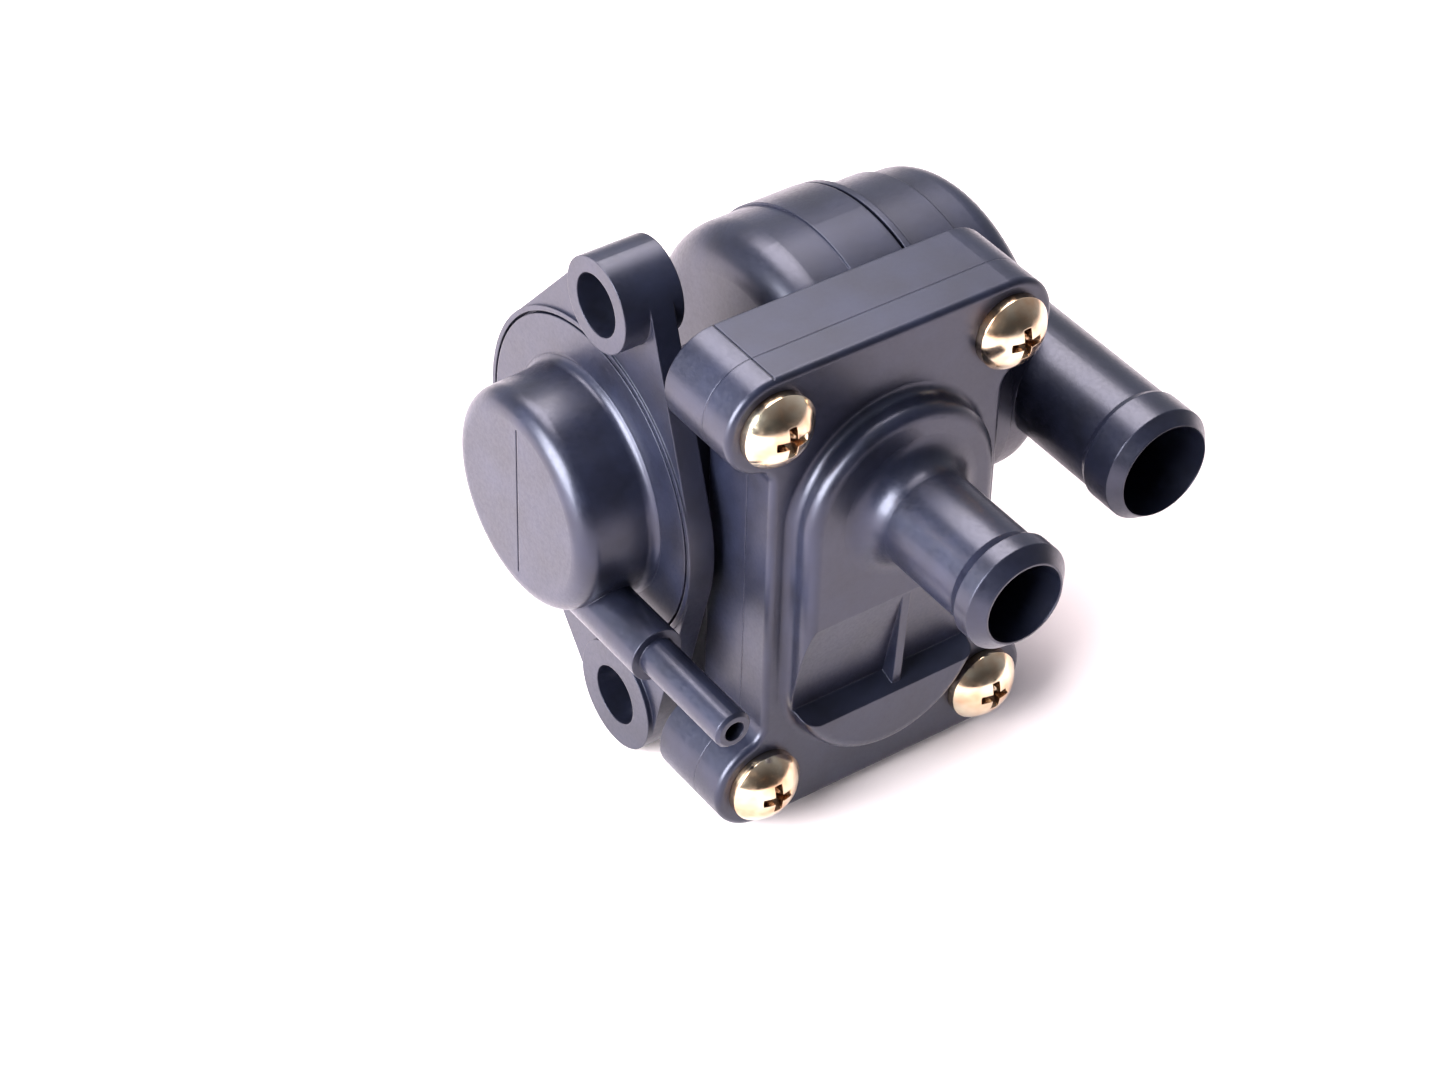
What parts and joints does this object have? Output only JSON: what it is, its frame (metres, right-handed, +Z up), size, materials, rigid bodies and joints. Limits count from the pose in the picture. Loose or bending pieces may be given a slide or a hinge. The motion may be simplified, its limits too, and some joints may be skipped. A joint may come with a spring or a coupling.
{
  "type": "vacuum diverter valve",
  "caption": "Moulded vacuum-operated air diverter valve with a diaphragm can, a drum with side inlet nozzle, a bolted reed chamber cover with outlet nozzle, and mounting ears.",
  "frame": {"origin": "on the bracket face of the two mounting ears, midway between their holes", "axes": "+X along the valve stem from the diaphragm can to the inlet cap, -Y the side the hose nozzles point to, +Z up"},
  "size_m": [0.0729, 0.0754, 0.0731],
  "materials": {
    "black_plastic": "satin, lightly mottled moulding",
    "seat_plastic": "satin",
    "yellow_zinc_steel": "yellow zinc plate",
    "zinc_steel": "bright zinc plate",
    "spring_steel": "rolled, polished",
    "bronze": "sintered",
    "die_cast": "die-cast",
    "rubber": "matt"
  },
  "bodies": {
    "housing": {"main_body": "black_plastic", "front_cover": "black_plastic", "cover_screws": "yellow_zinc_steel", "cover_seal": "rubber", "reed_plate": "die_cast", "reed_tail": "spring_steel", "reed_stopper": "zinc_steel", "reed_screws": "zinc_steel", "diaphragm_cover": "black_plastic", "diaphragm": "rubber", "return_spring": "spring_steel", "stem_bush": "bronze", "stem_seal": "rubber", "seal_retainer": "zinc_steel", "valve_seat": "seat_plastic", "inlet_cap": "black_plastic", "cap_seal": "rubber"},
    "stem": {"valve_stem": "zinc_steel", "spring_cup": "zinc_steel", "backing_washer": "zinc_steel", "stem_nut": "zinc_steel", "poppet_disc": "zinc_steel", "poppet_facing": "rubber", "poppet_clip": "zinc_steel"},
    "reed": {"reed_petal": "spring_steel"}
  },
  "joints": [
    {"name": "stem_slide", "type": "slide", "parent": "housing", "child": "stem", "axis": [-1, 0, 0], "range_m": [0, 0.004], "stiffness_N_per_m": 800, "springref_m": -0.006, "deforming": ["return_spring", "diaphragm"]},
    {"name": "reed_bend", "type": "hinge", "parent": "housing", "child": "reed", "pos_m": [0.01655, -0.01855, -0.017], "axis": [1, 0, 0], "range_deg": [0, 8], "stiffness_Nm_per_rad": 0.02, "springref_deg": -5.73}
  ]
}
